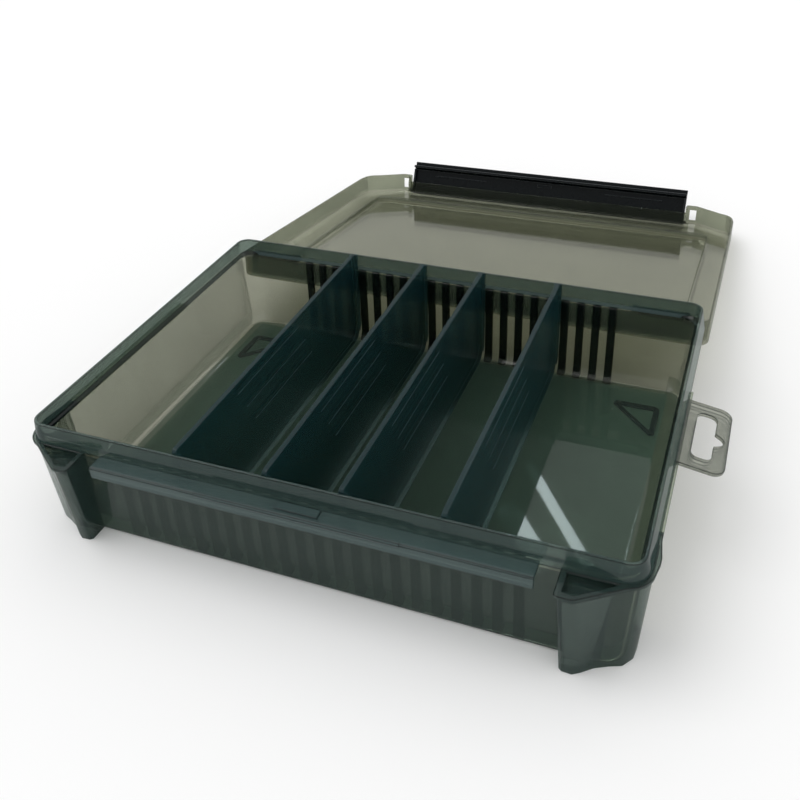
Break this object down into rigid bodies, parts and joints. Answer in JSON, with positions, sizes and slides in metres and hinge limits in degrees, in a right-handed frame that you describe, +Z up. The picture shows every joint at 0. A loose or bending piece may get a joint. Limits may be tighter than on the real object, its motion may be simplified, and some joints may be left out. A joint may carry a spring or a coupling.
{
  "type": "divided tray case",
  "caption": "Shallow translucent case for lures: a deep tray with slotted walls, a hinged lid, a long snap latch and lift-out dividers.",
  "frame": {"origin": "centre of the tray's underside, half way between its end walls and between the front and rear of its lip", "axes": "+X to the right seen from the latch side, +Y towards the hinge, +Z up"},
  "size_m": [0.2704, 0.3829, 0.0517],
  "materials": {
    "smoke_tray": "glossy smoke-tinted polypropylene",
    "smoke_lid": "glossy smoke-tinted polypropylene",
    "black_latch": "semi-gloss black",
    "divider_blade": "dark blue-green satin",
    "foot_pad": "soft black"
  },
  "bodies": {
    "tray": {"tray": "smoke_tray", "foot_front_left": "foot_pad", "foot_front_right": "foot_pad", "foot_rear_left": "foot_pad", "foot_rear_right": "foot_pad"},
    "lid": {"lid": "smoke_lid"},
    "latch": {"latch": "black_latch"},
    "divider_1": {"divider_1": "divider_blade"},
    "divider_2": {"divider_2": "divider_blade"},
    "divider_3": {"divider_3": "divider_blade"},
    "divider_4": {"divider_4": "divider_blade"}
  },
  "joints": [
    {"name": "lid_hinge", "type": "hinge", "parent": "tray", "child": "lid", "pos_m": [0, 0.089, 0.0405], "axis": [-1, 0, 0], "range_deg": [-187.7, 0]},
    {"name": "latch_pivot", "type": "hinge", "parent": "lid", "child": "latch", "pos_m": [0, 0.27132, 0.00303], "axis": [-1, 0, 0], "range_deg": [-20, 60]},
    {"name": "divider_1_lift", "type": "slide", "parent": "tray", "child": "divider_1", "axis": [0, 0, 1], "range_m": [0, 0.052]},
    {"name": "divider_2_lift", "type": "slide", "parent": "tray", "child": "divider_2", "axis": [0, 0, 1], "range_m": [0, 0.052]},
    {"name": "divider_3_lift", "type": "slide", "parent": "tray", "child": "divider_3", "axis": [0, 0, 1], "range_m": [0, 0.052]},
    {"name": "divider_4_lift", "type": "slide", "parent": "tray", "child": "divider_4", "axis": [0, 0, 1], "range_m": [0, 0.052]}
  ]
}
